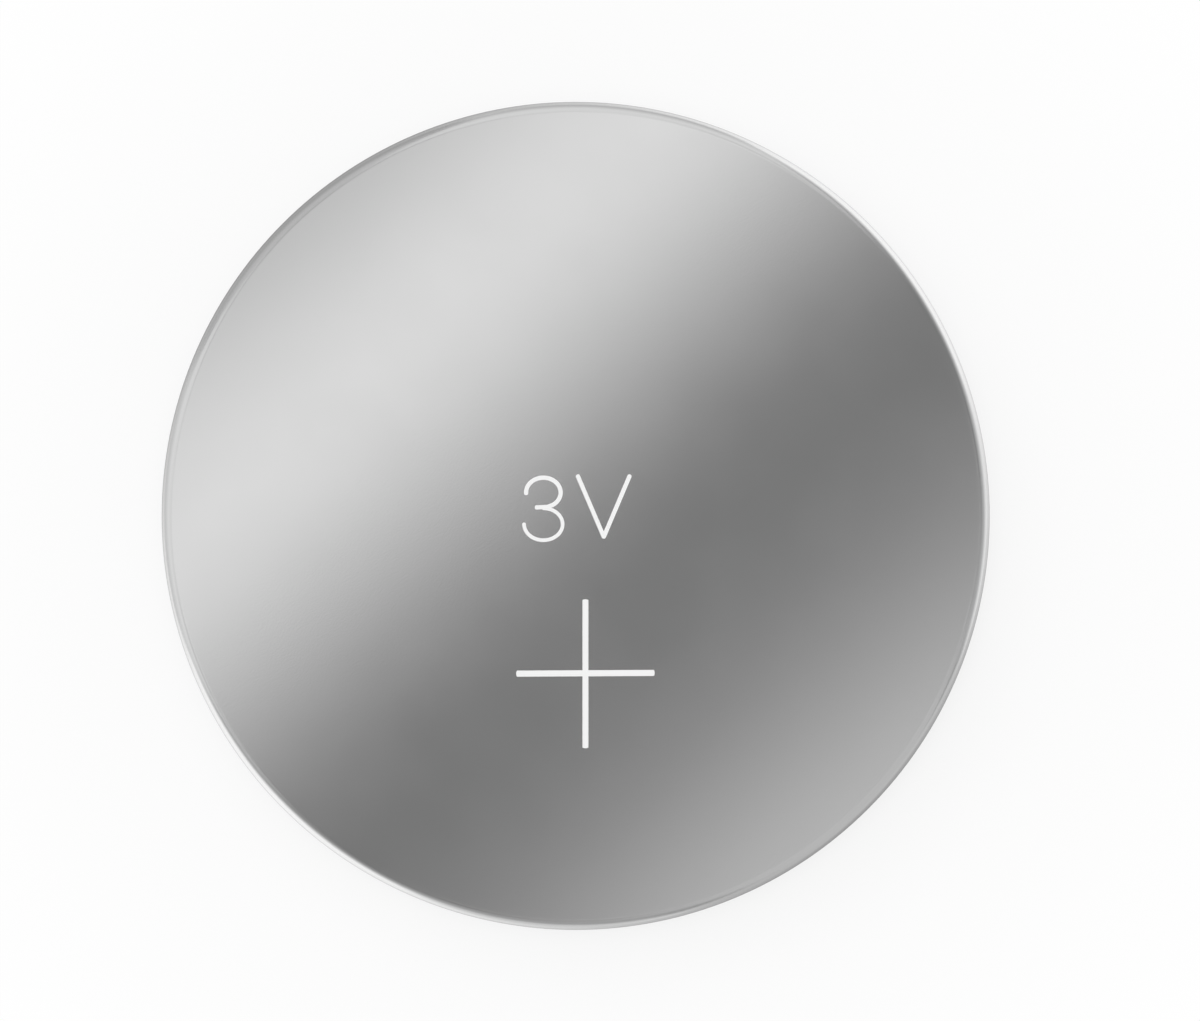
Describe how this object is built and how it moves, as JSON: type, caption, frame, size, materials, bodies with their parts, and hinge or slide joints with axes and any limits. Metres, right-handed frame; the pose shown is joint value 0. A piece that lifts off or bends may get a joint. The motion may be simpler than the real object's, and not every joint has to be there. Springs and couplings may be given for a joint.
{
  "type": "lithium coin cell",
  "caption": "Round lithium coin cell: a drawn metal can with a flat positive face, crimped over a gasket and a stepped negative cap.",
  "frame": {"origin": "centre of the negative contact face, on the surface that the cell lies on", "axes": "+Z along the cell's axis, out of the positive face; +Y is the top of the positive face as the picture shows it"},
  "size_m": [0.0125, 0.0124, 0.002],
  "materials": {
    "can_steel": "satin nickel plating on drawn stainless sheet",
    "gasket_polypropylene": "moulded polypropylene, milky",
    "cap_steel": "satin nickel plating on pressed stainless sheet",
    "lithium_foil": "soft rolled foil, dull",
    "separator_felt": "non-woven polypropylene",
    "cathode_black": "pressed black powder, matt",
    "collector_steel": "expanded stainless mesh, bare"
  },
  "bodies": {
    "root": {"positive_can": "can_steel", "sealing_gasket": "gasket_polypropylene", "negative_cap": "cap_steel", "lithium_anode": "lithium_foil", "separator": "separator_felt", "cathode_pellet": "cathode_black", "current_collector": "collector_steel"}
  },
  "joints": []
}
